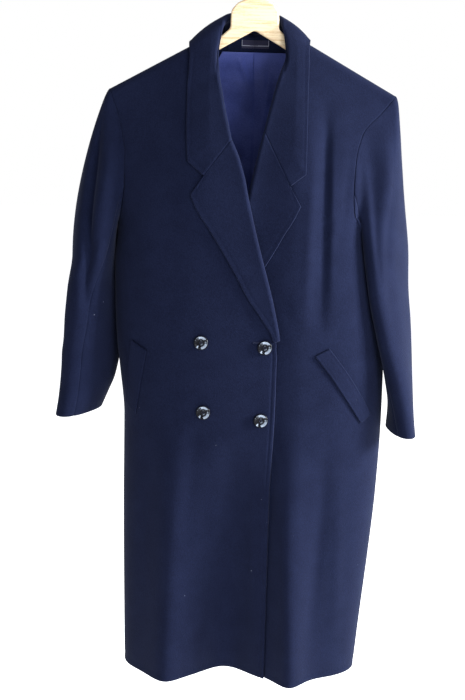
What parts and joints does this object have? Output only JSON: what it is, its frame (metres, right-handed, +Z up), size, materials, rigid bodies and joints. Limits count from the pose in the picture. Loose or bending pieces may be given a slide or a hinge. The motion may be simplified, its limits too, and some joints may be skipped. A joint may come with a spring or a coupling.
{
  "type": "wool overcoat on a wooden hanger",
  "caption": "Long double-breasted wool overcoat with notched lapels, slanted pockets and plain cuffs, hanging on a flat wooden hanger with a wire hook.",
  "frame": {"origin": "underside of the hook's crown, where a rail carries the hanger", "axes": "+Z up, +X to the viewer's right, the coat's front faces -Y"},
  "size_m": [0.6836, 0.2347, 1.364],
  "materials": {
    "wool": "navy melton wool, soft nap",
    "lining": "indigo satin lining",
    "label": "woven satin, plain",
    "button": "dark polished",
    "wood": "pale lacquered beech",
    "wire": "bright plated wire"
  },
  "bodies": {
    "root": {"front_right": "wool", "front_left": "wool", "back": "wool", "upper_sleeve_right": "wool", "under_sleeve_right": "wool", "upper_sleeve_left": "wool", "under_sleeve_left": "wool", "lapel_right": "wool", "lapel_left": "wool", "collar": "wool", "pocket_welt_right": "wool", "pocket_welt_left": "wool", "neck_facing": "wool", "back_lining": "lining", "neck_label": "label", "button_upper_right": "button", "button_upper_left": "button", "button_lower_right": "button", "button_lower_left": "button", "hanger": "wood", "hook": "wire"}
  },
  "joints": []
}
